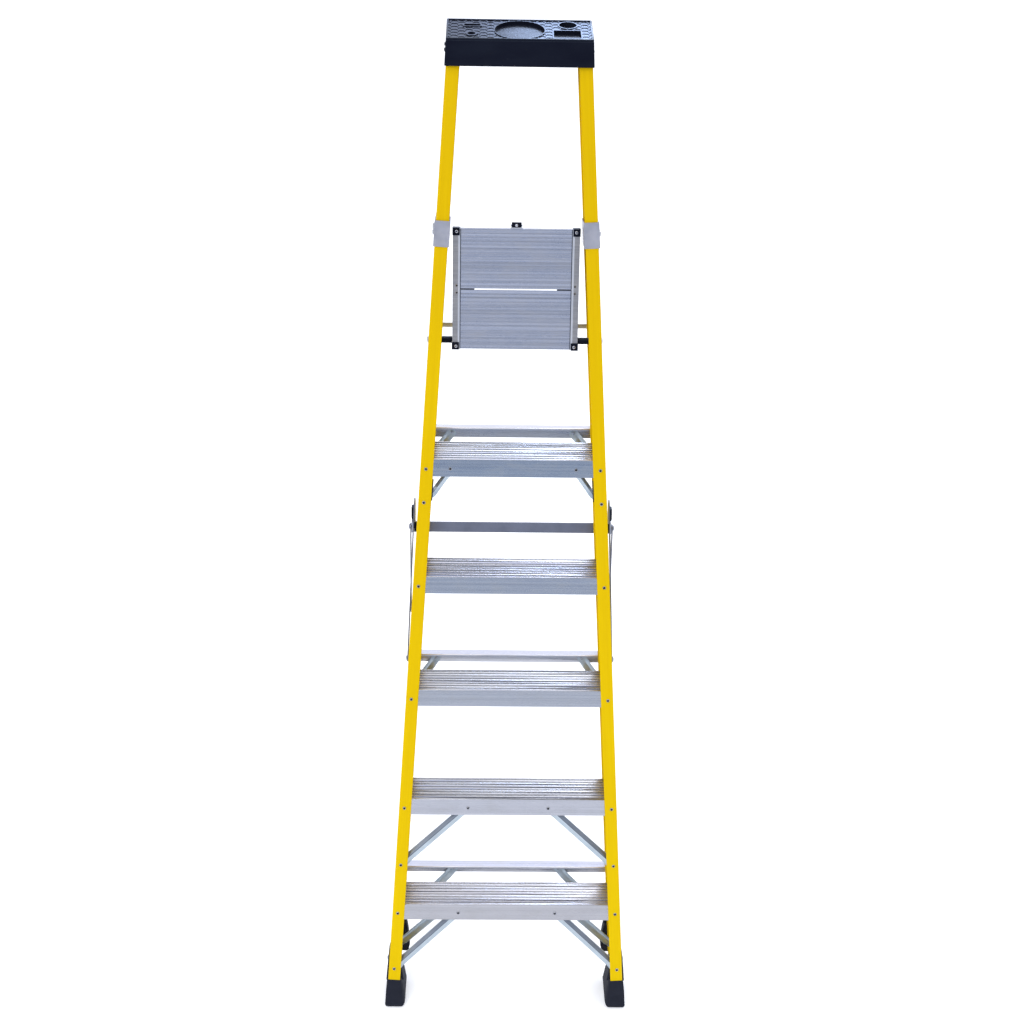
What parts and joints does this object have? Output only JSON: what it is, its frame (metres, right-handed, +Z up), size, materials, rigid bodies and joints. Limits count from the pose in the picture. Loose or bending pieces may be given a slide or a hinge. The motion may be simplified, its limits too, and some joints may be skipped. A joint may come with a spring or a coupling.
{
  "type": "platform step ladder",
  "caption": "Fibreglass platform step ladder, closed, with its platform folded up between the front rails.",
  "frame": {"origin": "on the floor, under the middle of the closed ladder's bounding box", "axes": "+X to the right seen from the front, +Y towards the rear frame, +Z up; the ladder is in its working attitude, front rails leaning back 18 degrees, treads level"},
  "size_m": [0.67, 0.9207, 2.5015],
  "materials": {
    "fibreglass": "pultruded fibreglass, satin gloss",
    "aluminium": "mill finish extrusion",
    "deck_frame": "mill finish extrusion",
    "zinc_steel": "zinc plated",
    "dark_steel": "dark plated steel",
    "black_plastic": "moulded, fine texture",
    "rubber": "moulded rubber",
    "bush_plastic": "moulded nylon",
    "fastener": "zinc plated rivets and bolts"
  },
  "bodies": {
    "front_frame": {"front_rail_left": "fibreglass", "front_rail_right": "fibreglass", "tread_1": "aluminium", "tread_2": "aluminium", "tread_3": "aluminium", "tread_4": "aluminium", "tread_5": "aluminium", "front_brace_lower_left": "zinc_steel", "front_brace_lower_right": "zinc_steel", "front_brace_middle_left": "zinc_steel", "front_brace_middle_right": "zinc_steel", "front_brace_upper_left": "zinc_steel", "front_brace_upper_right": "zinc_steel", "tread_brace_left": "aluminium", "tread_brace_right": "aluminium", "front_frame_rivets": "fastener", "front_foot_left": "rubber", "front_foot_right": "rubber", "front_foot_bolts": "fastener", "top_cap": "black_plastic", "upper_bolts": "fastener", "hinge_bracket_left": "zinc_steel", "hinge_bracket_right": "zinc_steel", "hinge_bolts": "fastener", "deck_axle": "zinc_steel", "deck_axle_spacers": "black_plastic", "spreader_front_pivots": "fastener"},
    "rear_frame": {"rear_rail_left": "fibreglass", "rear_rail_right": "fibreglass", "rear_bar_lower": "aluminium", "rear_bar_middle": "aluminium", "rear_bar_upper": "aluminium", "rear_brace_lower_left": "zinc_steel", "rear_brace_lower_right": "zinc_steel", "rear_brace_middle_left": "zinc_steel", "rear_brace_middle_right": "zinc_steel", "rear_brace_upper_left": "zinc_steel", "rear_brace_upper_right": "zinc_steel", "rear_frame_rivets": "fastener", "rear_foot_left": "rubber", "rear_foot_right": "rubber", "rear_foot_bolts": "fastener", "deck_support_rod": "zinc_steel", "hinge_bushes": "bush_plastic", "spreader_rear_pivots": "fastener"},
    "deck": {"deck_plank_front": "aluminium", "deck_plank_rear": "aluminium", "deck_channel_left": "deck_frame", "deck_channel_right": "deck_frame", "deck_corner_caps": "black_plastic", "deck_fasteners": "fastener", "deck_catch_bracket": "zinc_steel"},
    "catch": {"deck_catch": "black_plastic"},
    "spreader_front": {"spreader_front_link_left": "dark_steel", "spreader_front_link_right": "dark_steel", "spreader_crossbar": "dark_steel", "spreader_knee_pins": "fastener", "spreader_grips": "black_plastic"},
    "spreader_rear": {"spreader_rear_link_left": "dark_steel", "spreader_rear_link_right": "dark_steel"}
  },
  "joints": [
    {"name": "rear_frame_swing", "type": "hinge", "parent": "front_frame", "child": "rear_frame", "pos_m": [0, 0.33176, 2.00847], "axis": [1, 0, 0], "range_deg": [0, 27.5]},
    {"name": "deck_fold", "type": "hinge", "parent": "front_frame", "child": "deck", "pos_m": [0, 0.1697, 1.77408], "axis": [-1, 0, 0], "range_deg": [0, 72.05]},
    {"name": "spreader_front_fold", "type": "hinge", "parent": "front_frame", "child": "spreader_front", "pos_m": [0, -0.08287, 0.94821], "axis": [-1, 0, 0], "range_deg": [0, 51.9]},
    {"name": "spreader_rear_fold", "type": "hinge", "parent": "rear_frame", "child": "spreader_rear", "pos_m": [0, 0.01626, 1.03744], "axis": [1, 0, 0], "range_deg": [0, 65.3]},
    {"name": "deck_catch_swing", "type": "hinge", "parent": "deck", "child": "catch", "pos_m": [0, 0.2533, 2.05079], "axis": [1, 0, 0], "range_deg": [0, 25]}
  ],
  "couplings": [
    {"joint": "deck_fold", "follows": "rear_frame_swing", "ratio": 2.6182},
    {"joint": "spreader_front_fold", "follows": "rear_frame_swing", "ratio": 1.8846},
    {"joint": "spreader_rear_fold", "follows": "rear_frame_swing", "ratio": 2.3726}
  ]
}
